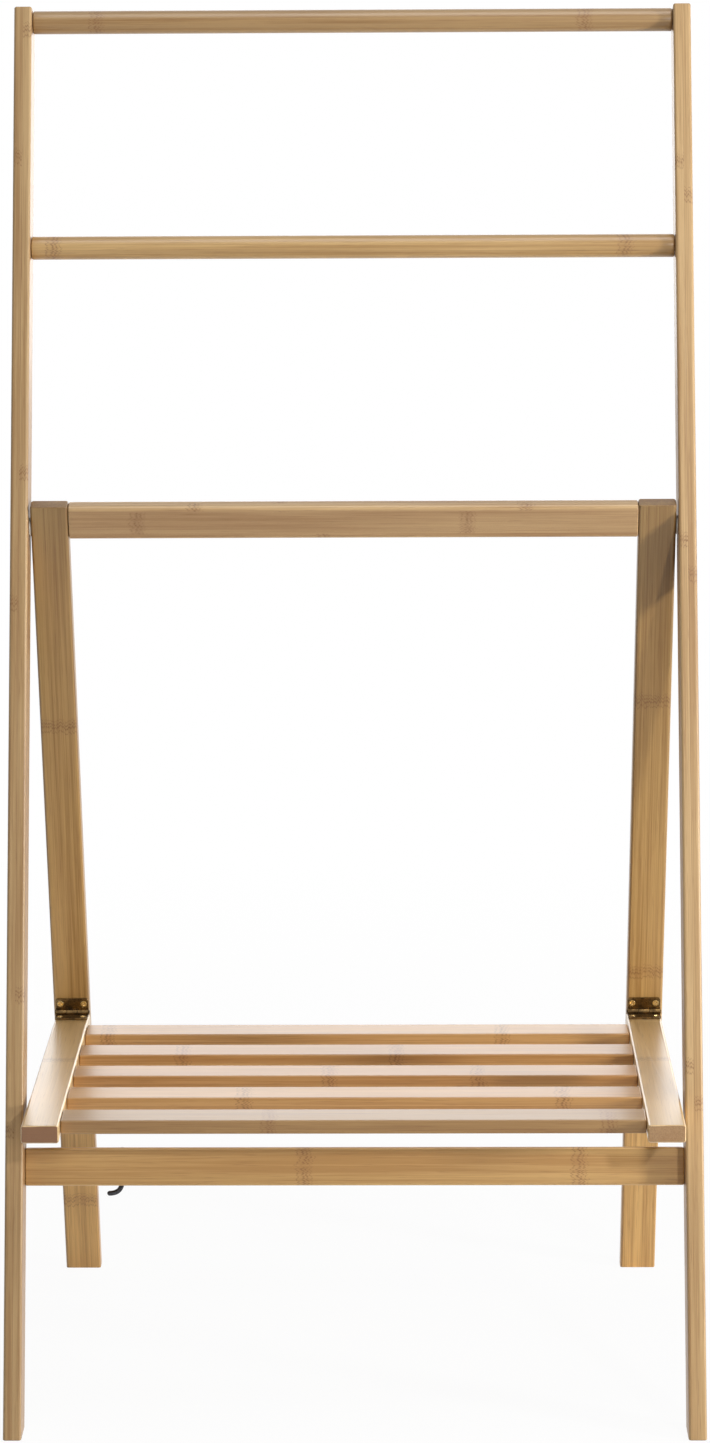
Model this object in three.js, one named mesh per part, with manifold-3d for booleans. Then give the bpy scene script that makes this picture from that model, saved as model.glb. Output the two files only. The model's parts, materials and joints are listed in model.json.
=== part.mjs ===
// A folding standing towel rack in laminated bamboo. A leaning front frame carries two round
// bars and a stretcher, a rear frame turns between its posts on two bolts, and a slatted shelf
// swings on butt hinges from the rear legs. Millimetres, +X to the right, -Y to the front, +Z up.
import * as THREE from "three";
import { mergeVertices } from "three/addons/utils/BufferGeometryUtils.js";
import Module from "manifold-3d";

const wasm = await Module();
wasm.setup();

const degree = Math.PI / 180;

// Stock and clearances
const overallWidth = 500;
const boardWidth = 27.5;
const boardThickness = 13;
const boardEdgeRadius = 2;
const sawnEndEase = 0.8;
const fitGap = 0.3;
const cutOverrun = 4;

// Front frame, measured up the post from the front edge of its foot
const postLength = 1042;
const frontLean = 15.7 * degree;
const barDiameter = 17;
const barEndEase = 1;
const topBarBelowPostEnd = 9;
const barPitch = 170;
const stretcherHeight = 27;
const stretcherBelowRail = 26;

// Rear frame, turning between the posts
const pivotOnPost = 656;
const rearLean = 16.1 * degree;
const pivotBelowLegTop = 18;
const legSideClearance = 1.4;
const topRailHeight = 26;
const topRailEdgeRadius = 3.5;

// Shelf, hinged on the front faces of the rear legs
const shelfTopHeight = 228.5;
const railWidth = 26.8;
const railInsetFromLeg = 1.5;
const slatCount = 5;
const slatWidth = 27.5;
const slatThickness = 10;
const slatFrontMargin = 12;
const slatRearMargin = 26.2;
const slatEdgeRadius = 1.2;
const tenonWidth = 18;
const tenonThickness = 5;
const tenonLength = 8;

// Butt hinges
const hingeWidth = 25;
const hingeKnuckleDiameter = 4.6;
const hingePinDiameter = 2.4;
const hingePinClearance = 0.15;
const hingePinHeadDiameter = 3.8;
const hingePinHeadHeight = 0.8;
const leafThickness = 1.2;
const leafCornerRadius = 1.6;
const upperLeafHeight = 11;
const lowerLeafDepth = 14;
const middleKnuckleLength = 8.4;

// Screws: diameters of head and shank, depth of the countersink, whole length
const frameScrew = { head: 8, shank: 4, sink: 3, rim: 0.4, length: 38, tip: 6 };
const leafScrew = { head: 5, shank: 2.6, sink: 1, rim: 0.2, length: 10.5, tip: 3 };
const pivotBolt = { head: 12, shank: 6, sink: 3.2, rim: 0.5, length: 25.4, tip: 1 };
const stretcherScrewPitch = 14;

// Pivot fittings, top rail dowels and shelf rest pins
const insertDiameter = 10;
const insertLength = 12;
const washerDiameter = 14;
const dowelDiameter = 7;
const dowelWeb = 2.6;
const dowelPitch = 14;
const dowelEase = 1;
const restPinDiameter = 8;
const restPinLength = 20;
const restPinProjection = 12;
const restPinEase = 1.2;

// Catch hook on the back of the stretcher, and its eye under a slat
const hookWireDiameter = 4;
const hookRingRadius = 5;
const hookReach = 27;
const hookBendRadius = 9;
const hookTipLength = 9.6;
const hookFromPost = 69;
const hookBelowStretcherTop = 6;
const hookScrewDiameter = 4;
const hookScrewHeadDiameter = 10;
const hookScrewHeadHeight = 2.6;
const hookScrewDepth = 10;
const eyeWireDiameter = 2.2;
const eyeRingRadius = 5.1;
const eyeFromHook = 6.5;
const eyeShankDepth = 7;
const eyeSlatFromFront = 1;
const eyeBehindSlatMiddle = -2;

// Facet counts
const cornerSegments = 3;
const barSegments = 32;
const screwSegments = 12;
const boreSegments = 16;
const knuckleSegments = 20;
const wireSegments = 8;
const ringSegments = 20;
const bendSteps = 10;
const weldTolerance = 1e-4;

const bamboo = new THREE.MeshStandardMaterial({ color: 0xc79a5b, roughness: 0.5, metalness: 0 });
const bambooLight = new THREE.MeshStandardMaterial({ color: 0xd9b27a, roughness: 0.5, metalness: 0 });
const bronze = new THREE.MeshStandardMaterial({ color: 0x4a3a24, roughness: 0.4, metalness: 0.9 });
const brass = new THREE.MeshStandardMaterial({ color: 0xb98d3c, roughness: 0.35, metalness: 1 });
const steel = new THREE.MeshStandardMaterial({ color: 0x9a9a98, roughness: 0.35, metalness: 1 });
const blackSteel = new THREE.MeshStandardMaterial({ color: 0x1c1a18, roughness: 0.35, metalness: 0.8 });
const nylon = new THREE.MeshStandardMaterial({ color: 0xe6e2d8, roughness: 0.6, metalness: 0 });

// A closed geometry as a solid that can be joined and cut
function solidOf(geometry) {
  const bare = geometry.clone();
  bare.deleteAttribute("normal");
  bare.deleteAttribute("uv");
  const welded = mergeVertices(bare, weldTolerance);
  return new wasm.Manifold(
    new wasm.Mesh({
      numProp: 3,
      vertProperties: welded.attributes.position.array,
      triVerts: new Uint32Array(welded.index.array),
    }),
  );
}

function geometryOf(solid) {
  const mesh = solid.getMesh();
  const indexed = new THREE.BufferGeometry();
  indexed.setAttribute("position", new THREE.BufferAttribute(new Float32Array(mesh.vertProperties), 3));
  indexed.setIndex(new THREE.BufferAttribute(new Uint32Array(mesh.triVerts), 1));
  const flat = indexed.toNonIndexed();
  flat.computeVertexNormals();
  return flat;
}

function cut(geometry, tools) {
  let rest = solidOf(geometry);
  for (const tool of tools) {
    rest = rest.subtract(solidOf(tool));
  }
  return geometryOf(rest);
}

function join(pieces) {
  let whole = solidOf(pieces[0]);
  for (const piece of pieces.slice(1)) {
    whole = whole.add(solidOf(piece));
  }
  return geometryOf(whole);
}

// A rectangle with rounded corners, centred on the origin
function roundedRectangle(across, deep, radius) {
  const x = across / 2 - radius;
  const y = deep / 2 - radius;
  const outline = new THREE.Shape();
  outline.absarc(x, y, radius, 0, Math.PI / 2);
  outline.absarc(-x, y, radius, Math.PI / 2, Math.PI);
  outline.absarc(-x, -y, radius, Math.PI, Math.PI * 1.5);
  outline.absarc(x, -y, radius, Math.PI * 1.5, Math.PI * 2);
  return outline;
}

// A planed board standing on the origin, its length along +Z, with eased sawn ends
function board(across, deep, long, radius = boardEdgeRadius) {
  const geometry = new THREE.ExtrudeGeometry(roundedRectangle(across, deep, radius), {
    depth: long - 2 * sawnEndEase,
    bevelThickness: sawnEndEase,
    bevelSize: sawnEndEase,
    bevelOffset: -sawnEndEase,
    bevelSegments: 1,
    curveSegments: cornerSegments,
  });
  return geometry.translate(0, 0, sawnEndEase);
}

// The same board lying across the rack, centred on x = 0
function crossBoard(high, deep, long, radius = boardEdgeRadius) {
  return board(high, deep, long, radius).translate(0, 0, -long / 2).rotateY(Math.PI / 2);
}

// A solid of revolution about +Z from [radius, height] pairs, listed upwards
function turned(profile, segments) {
  const points = profile.map(([radius, height]) => new THREE.Vector2(radius, height));
  return new THREE.LatheGeometry(points, segments).rotateX(Math.PI / 2);
}

function rod(radius, length, ease, segments) {
  const profile = [
    [0, 0],
    [radius - ease, 0],
    [radius, ease],
    [radius, length - ease],
    [radius - ease, length],
    [0, length],
  ];
  return turned(profile, segments);
}

function plainRod(radius, length, segments) {
  return turned([[0, 0], [radius, 0], [radius, length], [0, length]], segments);
}

function ringRod(outer, inner, length, segments) {
  const profile = [[inner, 0], [outer, 0], [outer, length], [inner, length], [inner, 0]];
  return turned(profile, segments);
}

// Turns a piece made along +Z to a new direction and moves it to its place
function aim(geometry, place, direction) {
  const turn = new THREE.Quaternion().setFromUnitVectors(new THREE.Vector3(0, 0, 1), direction);
  return geometry.applyQuaternion(turn).translate(place.x, place.y, place.z);
}

// A countersunk screw with the top of its head at the origin and its tip along +Z
function screw(size) {
  const profile = [
    [0, 0],
    [size.head / 2, 0],
    [size.head / 2, size.rim],
    [size.shank / 2, size.sink],
    [size.shank / 2, size.length - size.tip],
    [0, size.length],
  ];
  return turned(profile, screwSegments);
}

function screwHole(size) {
  const profile = [
    [0, -cutOverrun],
    [size.head / 2 + fitGap, -cutOverrun],
    [size.head / 2 + fitGap, size.rim],
    [size.shank / 2 + fitGap, size.sink],
    [size.shank / 2 + fitGap, size.length + fitGap],
    [0, size.length + fitGap],
  ];
  return turned(profile, screwSegments);
}

// Everything under the floor, seen from a frame that stands at a height and is turned about X
function underFloor(heightAboveFloor, turn) {
  const block = new THREE.BoxGeometry(2 * overallWidth, 2 * overallWidth, overallWidth);
  return block.translate(0, 0, -heightAboveFloor - overallWidth / 2).rotateX(-turn);
}

function add(group, name, geometry, material) {
  const mesh = new THREE.Mesh(geometry, material);
  mesh.name = name;
  group.add(mesh);
}

const sides = [
  { name: "left", sign: -1 },
  { name: "right", sign: 1 },
];
const outward = (side) => new THREE.Vector3(side.sign, 0, 0);
const inward = (side) => new THREE.Vector3(-side.sign, 0, 0);

// Places that the frames share
const postInnerX = overallWidth / 2 - boardThickness;
const legOuterX = postInnerX - legSideClearance;
const legInnerX = legOuterX - boardWidth;
const railOuterX = legOuterX - railInsetFromLeg;
const railInnerX = railOuterX - railWidth;
const pivotY = pivotOnPost * Math.sin(frontLean) + (boardWidth / 2) * Math.cos(frontLean);
const pivotZ = pivotOnPost * Math.cos(frontLean) - (boardWidth / 2) * Math.sin(frontLean);
const hingeStandOff = hingeKnuckleDiameter / 2 + fitGap;
const hingeDeep = -boardThickness / 2 - hingeStandOff;
const hingeZ = shelfTopHeight + hingeStandOff;
const hingeAlongLeg = (hingeZ - pivotZ - hingeDeep * Math.sin(rearLean)) / Math.cos(rearLean);
const hingeY = pivotY + hingeDeep * Math.cos(rearLean) - hingeAlongLeg * Math.sin(rearLean);
const hingeX = (railOuterX + railInnerX + legOuterX + legInnerX) / 4;

const rack = new THREE.Group();

// FRONT FRAME: its group leans back, with x across, y behind the front faces and z up the posts
const frontFrame = new THREE.Group();
frontFrame.rotation.x = -frontLean;
rack.add(frontFrame);

const topBarOnPost = postLength - topBarBelowPostEnd;
const secondBarOnPost = topBarOnPost - barPitch;
const railUnderside = shelfTopHeight - boardThickness;
const railUndersideOnPost = (railUnderside + boardWidth * Math.sin(frontLean)) / Math.cos(frontLean);
const stretcherBottomOnPost = railUndersideOnPost - stretcherBelowRail - stretcherHeight;
const stretcherMiddle = stretcherBottomOnPost + stretcherHeight / 2;
const stretcherDeep = boardWidth - boardThickness / 2;
const restPinZ = railUnderside - fitGap - restPinDiameter / 2;
const restPinOnPost = (restPinZ + (boardWidth / 2) * Math.sin(frontLean)) / Math.cos(frontLean);

// Each screw of the front frame: what it holds and where it enters the post's outer face
const frameScrews = [
  { name: "top_bar_screw", deep: boardWidth / 2, high: topBarOnPost },
  { name: "second_bar_screw", deep: boardWidth / 2, high: secondBarOnPost },
  { name: "stretcher_upper_screw", deep: stretcherDeep, high: stretcherMiddle + stretcherScrewPitch / 2 },
  { name: "stretcher_lower_screw", deep: stretcherDeep, high: stretcherMiddle - stretcherScrewPitch / 2 },
];

function frameScrewHoles() {
  const holes = [];
  for (const side of sides) {
    for (const { deep, high } of frameScrews) {
      const mouth = new THREE.Vector3((side.sign * overallWidth) / 2, deep, high);
      holes.push(aim(screwHole(frameScrew), mouth, inward(side)));
    }
  }
  return holes;
}

for (const side of sides) {
  const blank = board(boardThickness, boardWidth, postLength);
  blank.translate(side.sign * (overallWidth / 2 - boardThickness / 2), boardWidth / 2, 0);
  const pivotMouth = new THREE.Vector3((side.sign * overallWidth) / 2, boardWidth / 2, pivotOnPost);
  const pinSeat = new THREE.Vector3(
    side.sign * (postInnerX - fitGap + restPinLength - restPinProjection),
    boardWidth / 2,
    restPinOnPost,
  );
  const pinBore = plainRod(restPinDiameter / 2 + fitGap, restPinLength + cutOverrun, boreSegments);
  const tools = [
    underFloor(0, -frontLean),
    aim(screwHole(pivotBolt), pivotMouth, inward(side)),
    aim(pinBore, new THREE.Vector3(pinSeat.x + side.sign * fitGap, pinSeat.y, pinSeat.z), inward(side)),
  ];
  add(frontFrame, side.name + "_post", cut(blank, tools.concat(frameScrewHoles())), bamboo);

  const pin = rod(restPinDiameter / 2, restPinLength, restPinEase, boreSegments);
  add(frontFrame, side.name + "_shelf_rest_pin", aim(pin, pinSeat, inward(side)), steel);

  for (const { name, deep, high } of frameScrews) {
    const mouth = new THREE.Vector3((side.sign * overallWidth) / 2, deep, high);
    add(frontFrame, side.name + "_" + name, aim(screw(frameScrew), mouth, inward(side)), steel);
  }
}

// Round bars, butted against the posts' inner faces
const barLength = 2 * (postInnerX - fitGap);
const bars = [
  { name: "top_bar", high: topBarOnPost },
  { name: "second_bar", high: secondBarOnPost },
];
for (const { name, high } of bars) {
  const bar = rod(barDiameter / 2, barLength, barEndEase, barSegments);
  aim(bar, new THREE.Vector3(-barLength / 2, boardWidth / 2, high), new THREE.Vector3(1, 0, 0));
  add(frontFrame, name, cut(bar, frameScrewHoles()), bamboo);
}

// Stretcher, flush with the posts' back faces. The catch hook's screw enters its back
const hookX = hookFromPost - postInnerX;
const hookOnPost = stretcherBottomOnPost + stretcherHeight - hookBelowStretcherTop;
const hookDeep = boardWidth + fitGap + hookWireDiameter / 2;
const hookScrewLength = hookScrewDepth + 2 * fitGap + hookWireDiameter;
const hookScrewHole = plainRod(hookScrewDiameter / 2 + fitGap, hookScrewDepth + cutOverrun, boreSegments);
aim(
  hookScrewHole,
  new THREE.Vector3(hookX, boardWidth + cutOverrun, hookOnPost),
  new THREE.Vector3(0, -1, 0),
);
const stretcherBlank = crossBoard(stretcherHeight, boardThickness, barLength);
stretcherBlank.translate(0, stretcherDeep, stretcherMiddle);
add(frontFrame, "front_stretcher", cut(stretcherBlank, [hookScrewHole].concat(frameScrewHoles())), bamboo);

// CATCH HOOK: bent wire with a ring round its screw, hanging with its tip to the left
const hookSwing = new THREE.Group();
hookSwing.position.set(hookX, hookDeep, hookOnPost);
frontFrame.add(hookSwing);

function hookRod() {
  const path = new THREE.CurvePath();
  const elbow = new THREE.Vector3(0, 0, -hookReach);
  const bendStart = new THREE.Vector3(0, 0, hookBendRadius - hookReach);
  const bendEnd = new THREE.Vector3(-hookBendRadius, 0, -hookReach);
  const tip = new THREE.Vector3(-hookTipLength, 0, -hookReach);
  path.add(new THREE.LineCurve3(new THREE.Vector3(0, 0, -hookRingRadius), bendStart));
  path.add(new THREE.QuadraticBezierCurve3(bendStart, elbow, bendEnd));
  path.add(new THREE.LineCurve3(bendEnd, tip));
  const section = new THREE.Shape().absarc(0, 0, hookWireDiameter / 2, 0, Math.PI * 2);
  return new THREE.ExtrudeGeometry(section, {
    steps: bendSteps,
    curveSegments: wireSegments,
    extrudePath: path,
    bevelEnabled: false,
  });
}
const hookRing = new THREE.TorusGeometry(hookRingRadius, hookWireDiameter / 2, wireSegments, ringSegments);
hookRing.rotateX(Math.PI / 2);
add(hookSwing, "catch_hook", join([hookRing, hookRod()]), blackSteel);

const hookScrewProfile = [
  [0, 0],
  [hookScrewDiameter / 2, 0],
  [hookScrewDiameter / 2, hookScrewLength],
  [hookScrewHeadDiameter / 2, hookScrewLength],
  [(hookScrewHeadDiameter / 2) * Math.cos(Math.PI / 6), hookScrewLength + hookScrewHeadHeight / 2],
  [(hookScrewHeadDiameter / 2) * Math.cos(Math.PI / 3), hookScrewLength + hookScrewHeadHeight],
  [0, hookScrewLength + hookScrewHeadHeight],
];
const hookScrew = turned(hookScrewProfile, screwSegments);
const hookScrewFoot = new THREE.Vector3(hookX, boardWidth - hookScrewDepth, hookOnPost);
add(frontFrame, "catch_hook_screw", aim(hookScrew, hookScrewFoot, new THREE.Vector3(0, 1, 0)), blackSteel);

// REAR FRAME: its group stands at the pivot, with z up the legs and y through their thickness
const rearFrame = new THREE.Group();
rearFrame.position.set(0, pivotY, pivotZ);
rearFrame.rotation.x = rearLean;
rack.add(rearFrame);

const legBelowPivot = (pivotZ + (boardThickness / 2) * Math.sin(rearLean)) / Math.cos(rearLean);
const topRailMiddle = pivotBelowLegTop - topRailHeight / 2;

// A butt hinge leaf in its own frame: x along the pin, y away from the board, z along the leaf
const outerKnuckleLength = (hingeWidth - middleKnuckleLength) / 2 - fitGap;
const outerKnuckleX = (hingeWidth - outerKnuckleLength) / 2;
function knuckleAt(radius, middle, length) {
  const knuckle = plainRod(radius, length, knuckleSegments);
  return aim(knuckle, new THREE.Vector3(middle - length / 2, 0, 0), new THREE.Vector3(1, 0, 0));
}
const leafScrewShare = 0.36;
const leafScrewX = hingeWidth * leafScrewShare;
function leafPlate(length) {
  const half = hingeWidth / 2;
  const corner = length - leafCornerRadius;
  const outline = new THREE.Shape();
  outline.moveTo(-half, 0);
  outline.lineTo(half, 0);
  outline.absarc(half - leafCornerRadius, corner, leafCornerRadius, 0, Math.PI / 2);
  outline.absarc(leafCornerRadius - half, corner, leafCornerRadius, Math.PI / 2, Math.PI);
  const plate = new THREE.ExtrudeGeometry(outline, {
    depth: leafThickness,
    curveSegments: cornerSegments,
    bevelEnabled: false,
  });
  return plate.rotateX(Math.PI / 2).translate(0, leafThickness - hingeKnuckleDiameter / 2, 0);
}
function leaf(length, own, other, screwAlong) {
  const knuckles = own.map(([middle, long]) => knuckleAt(hingeKnuckleDiameter / 2, middle, long));
  const windows = other.map(([middle, long]) =>
    knuckleAt(hingeStandOff, middle, long + 2 * fitGap),
  );
  const pinBore = knuckleAt(hingePinDiameter / 2 + hingePinClearance, 0, hingeWidth + 2 * cutOverrun);
  const holes = [-leafScrewX, leafScrewX].map((x) =>
    aim(screwHole(leafScrew), leafScrewMouth(x, screwAlong), new THREE.Vector3(0, -1, 0)),
  );
  const plate = cut(leafPlate(length), windows);
  return cut(join([plate, ...knuckles]), [pinBore, ...holes]);
}
function leafScrewMouth(x, along) {
  return new THREE.Vector3(x, leafThickness - hingeKnuckleDiameter / 2, along);
}
const outerSpans = [
  [-outerKnuckleX, outerKnuckleLength],
  [outerKnuckleX, outerKnuckleLength],
];
const middleSpan = [[0, middleKnuckleLength]];
const upperScrewAlong = (upperLeafHeight + hingeKnuckleDiameter / 2) / 2;
const lowerScrewAlong = (lowerLeafDepth + hingeKnuckleDiameter / 2) / 2;

// Puts a piece of the leaf's frame on the leg's front face, or on the shelf rail's top face
function onLeg(geometry, side) {
  return geometry.rotateZ(Math.PI).translate(side.sign * hingeX, hingeDeep, hingeAlongLeg);
}
function onRail(geometry, side) {
  return geometry.rotateX(Math.PI / 2).translate(side.sign * hingeX, 0, 0);
}

const topRailLength = 2 * (legInnerX - fitGap);
const boreDepth = insertLength + 2 * fitGap;
const dowelLength = 2 * (boardWidth - boreDepth - dowelWeb - fitGap);
function dowelBores() {
  const bores = [];
  for (const side of sides) {
    for (const level of [-1, 1]) {
      const radius = dowelDiameter / 2 + fitGap;
      const start = new THREE.Vector3(
        side.sign * (legInnerX - dowelLength / 2 - fitGap),
        0,
        topRailMiddle + (level * dowelPitch) / 2,
      );
      bores.push(aim(plainRod(radius, dowelLength + 2 * fitGap, boreSegments), start, outward(side)));
    }
  }
  return bores;
}

for (const side of sides) {
  const blank = board(boardWidth, boardThickness, legBelowPivot + pivotBelowLegTop);
  blank.translate(side.sign * (legOuterX - boardWidth / 2), 0, -legBelowPivot);
  const insertBore = plainRod(insertDiameter / 2 + fitGap, boreDepth + cutOverrun, boreSegments);
  const boreStart = new THREE.Vector3(side.sign * (legOuterX - boreDepth), 0, 0);
  const leafHoles = [-leafScrewX, leafScrewX].map((x) => {
    const hole = screwHole(leafScrew);
    aim(hole, leafScrewMouth(x, upperScrewAlong), new THREE.Vector3(0, -1, 0));
    return onLeg(hole, side);
  });
  const tools = [underFloor(pivotZ, rearLean), aim(insertBore, boreStart, outward(side))];
  add(rearFrame, side.name + "_rear_leg", cut(blank, tools.concat(leafHoles, dowelBores())), bamboo);

  const insert = ringRod(insertDiameter / 2, pivotBolt.shank / 2 + fitGap, insertLength, boreSegments);
  const insertStart = new THREE.Vector3(side.sign * (legOuterX - insertLength - fitGap), 0, 0);
  add(rearFrame, side.name + "_pivot_insert", aim(insert, insertStart, outward(side)), brass);

  const washerThickness = legSideClearance - 2 * fitGap;
  const washer = ringRod(washerDiameter / 2, pivotBolt.shank / 2 + fitGap, washerThickness, boreSegments);
  const washerStart = new THREE.Vector3(side.sign * (legOuterX + fitGap), 0, 0);
  add(rearFrame, side.name + "_pivot_washer", aim(washer, washerStart, outward(side)), nylon);

  const boltHead = new THREE.Vector3((side.sign * overallWidth) / 2, 0, 0);
  add(rearFrame, side.name + "_pivot_bolt", aim(screw(pivotBolt), boltHead, inward(side)), steel);

  for (const [levelName, level] of [["lower", -1], ["upper", 1]]) {
    const dowel = rod(dowelDiameter / 2, dowelLength, dowelEase, boreSegments);
    const start = new THREE.Vector3(
      side.sign * (legInnerX - dowelLength / 2),
      0,
      topRailMiddle + (level * dowelPitch) / 2,
    );
    const name = side.name + "_top_rail_" + levelName + "_dowel";
    add(rearFrame, name, aim(dowel, start, outward(side)), bambooLight);
  }

  const upperLeaf = leaf(upperLeafHeight, outerSpans, middleSpan, upperScrewAlong);
  add(rearFrame, side.name + "_hinge_leg_leaf", onLeg(upperLeaf, side), bronze);

  const pinLength = hingeWidth + 2 * fitGap;
  const pinProfile = [
    [0, 0],
    [hingePinHeadDiameter / 2, 0],
    [hingePinHeadDiameter / 2, hingePinHeadHeight],
    [hingePinDiameter / 2, hingePinHeadHeight],
    [hingePinDiameter / 2, hingePinHeadHeight + pinLength],
    [hingePinHeadDiameter / 2, hingePinHeadHeight + pinLength],
    [hingePinHeadDiameter / 2, 2 * hingePinHeadHeight + pinLength],
    [0, 2 * hingePinHeadHeight + pinLength],
  ];
  const pinStart = new THREE.Vector3(-hingePinHeadHeight - pinLength / 2, 0, 0);
  const pin = aim(turned(pinProfile, knuckleSegments), pinStart, new THREE.Vector3(1, 0, 0));
  add(rearFrame, side.name + "_hinge_pin", onLeg(pin, side), bronze);

  for (const [edgeName, edge] of [["outer", 1], ["inner", -1]]) {
    const piece = screw(leafScrew);
    const x = -edge * side.sign * leafScrewX;
    aim(piece, leafScrewMouth(x, upperScrewAlong), new THREE.Vector3(0, -1, 0));
    add(rearFrame, side.name + "_leg_leaf_" + edgeName + "_screw", onLeg(piece, side), brass);
  }
}

const topRail = crossBoard(topRailHeight, boardThickness, topRailLength, topRailEdgeRadius);
topRail.translate(0, 0, topRailMiddle);
add(rearFrame, "rear_top_rail", cut(topRail, dowelBores()), bamboo);

// SHELF: its group stands level on the hinge line, with the front at -y
const shelf = new THREE.Group();
shelf.position.set(0, hingeY, hingeZ);
rack.add(shelf);

const railTop = -hingeStandOff;
const railBottomDrop = hingeStandOff + boardThickness;
const railBottomRearY = (hingeStandOff + railBottomDrop * Math.sin(rearLean)) / Math.cos(rearLean);

// The eye stands where the hook's tip comes when it is turned straight up, and its slat over it
const eyeOnPost = hookOnPost + hookReach;
const eyeX = hookX + eyeFromHook;
const eyeY = eyeOnPost * Math.sin(frontLean) + hookDeep * Math.cos(frontLean) - hingeY;
const eyeZ = eyeOnPost * Math.cos(frontLean) - hookDeep * Math.sin(frontLean) - hingeZ;
const eyeShankTop = railTop - slatThickness + eyeShankDepth;

// The middle line of each slat, counted from the front, and the mortises of all their tenons.
// The pitch spreads them evenly between the eye's slat and the rear one, in front of the hinges
const eyeSlatLine = eyeY - eyeBehindSlatMiddle;
const rearSlatLine = -slatRearMargin - slatWidth / 2;
const slatPitch = (rearSlatLine - eyeSlatLine) / (slatCount - 1 - eyeSlatFromFront);
const slatLines = [];
for (let index = 0; index < slatCount; index += 1) {
  slatLines.push(eyeSlatLine + (index - eyeSlatFromFront) * slatPitch);
}
const shelfReach = slatFrontMargin + slatWidth / 2 - slatLines[0];
const slatLength = 2 * (railInnerX - fitGap);
function mortises() {
  const long = 2 * (railInnerX + tenonLength + fitGap);
  return slatLines.map((line) => {
    const slot = new THREE.BoxGeometry(long, tenonWidth + 2 * fitGap, tenonThickness + 2 * fitGap);
    return slot.translate(0, line, railTop - slatThickness / 2);
  });
}

// What lies behind the leg's front face, where the rail's slanted end stops
function behindLegFace() {
  const block = new THREE.BoxGeometry(overallWidth, overallWidth, overallWidth);
  return block.translate(0, hingeStandOff - fitGap + overallWidth / 2, 0).rotateX(-rearLean);
}

for (const side of sides) {
  const railLength = shelfReach + railBottomRearY;
  const blank = board(railWidth, boardThickness, railLength).rotateX(Math.PI / 2);
  blank.translate(side.sign * (railOuterX - railWidth / 2), railBottomRearY, railTop - boardThickness / 2);
  const leafHoles = [-leafScrewX, leafScrewX].map((x) => {
    const hole = screwHole(leafScrew);
    aim(hole, leafScrewMouth(x, lowerScrewAlong), new THREE.Vector3(0, -1, 0));
    return onRail(hole, side);
  });
  const tools = [behindLegFace(), ...leafHoles, ...mortises()];
  add(shelf, side.name + "_shelf_rail", cut(blank, tools), bambooLight);

  const lowerLeaf = leaf(lowerLeafDepth, middleSpan, outerSpans, lowerScrewAlong);
  add(shelf, side.name + "_hinge_shelf_leaf", onRail(lowerLeaf, side), bronze);

  for (const [edgeName, edge] of [["outer", 1], ["inner", -1]]) {
    const piece = screw(leafScrew);
    const x = edge * side.sign * leafScrewX;
    aim(piece, leafScrewMouth(x, lowerScrewAlong), new THREE.Vector3(0, -1, 0));
    add(shelf, side.name + "_shelf_leaf_" + edgeName + "_screw", onRail(piece, side), brass);
  }
}

for (let index = 0; index < slatCount; index += 1) {
  const body = crossBoard(slatThickness, slatWidth, slatLength, slatEdgeRadius);
  const tenons = new THREE.BoxGeometry(slatLength + 2 * tenonLength, tenonWidth, tenonThickness);
  const slat = join([body, tenons]);
  slat.translate(0, slatLines[index], railTop - slatThickness / 2);
  const bore = plainRod(eyeWireDiameter / 2 + fitGap, eyeShankTop - eyeZ + fitGap, boreSegments);
  bore.translate(eyeX, eyeY, eyeZ);
  const tools = index === eyeSlatFromFront ? [bore] : [];
  add(shelf, "shelf_slat_" + (slatCount - index), cut(slat, tools), bambooLight);
}

const eyeRing = new THREE.TorusGeometry(eyeRingRadius, eyeWireDiameter / 2, wireSegments, ringSegments);
eyeRing.rotateY(Math.PI / 2);
const eyeShank = plainRod(eyeWireDiameter / 2, eyeShankTop - eyeZ - eyeRingRadius, screwSegments);
eyeShank.translate(0, 0, eyeRingRadius);
const eye = join([eyeRing, eyeShank]).translate(eyeX, eyeY, eyeZ);
add(shelf, "catch_eye", eye, blackSteel);

// The origin is the middle of the rack's footprint, on the floor
const extent = new THREE.Box3().setFromObject(rack, true);
rack.position.y = -(extent.min.y + extent.max.y) / 2;

export default rack;
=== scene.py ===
import json
import math

import bmesh
import bpy
import numpy as np
from mathutils import Matrix, Vector


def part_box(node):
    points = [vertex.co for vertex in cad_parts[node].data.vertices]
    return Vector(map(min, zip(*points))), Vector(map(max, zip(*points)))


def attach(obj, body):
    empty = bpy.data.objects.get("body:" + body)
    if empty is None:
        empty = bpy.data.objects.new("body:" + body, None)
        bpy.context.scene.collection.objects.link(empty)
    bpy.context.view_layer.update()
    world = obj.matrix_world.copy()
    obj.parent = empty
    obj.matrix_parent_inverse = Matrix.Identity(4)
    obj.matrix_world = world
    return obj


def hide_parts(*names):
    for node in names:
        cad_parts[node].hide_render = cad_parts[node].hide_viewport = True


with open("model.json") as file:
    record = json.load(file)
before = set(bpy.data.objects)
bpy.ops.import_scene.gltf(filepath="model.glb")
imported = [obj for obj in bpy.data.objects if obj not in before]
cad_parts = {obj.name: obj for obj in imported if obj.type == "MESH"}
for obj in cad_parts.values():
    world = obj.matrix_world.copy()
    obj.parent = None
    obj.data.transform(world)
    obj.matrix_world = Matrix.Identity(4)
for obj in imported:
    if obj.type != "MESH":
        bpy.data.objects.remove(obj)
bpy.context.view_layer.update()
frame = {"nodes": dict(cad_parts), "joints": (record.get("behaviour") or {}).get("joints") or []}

scene = bpy.context.scene
scene.view_settings.view_transform = "Standard"
nodes = frame["nodes"]

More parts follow.
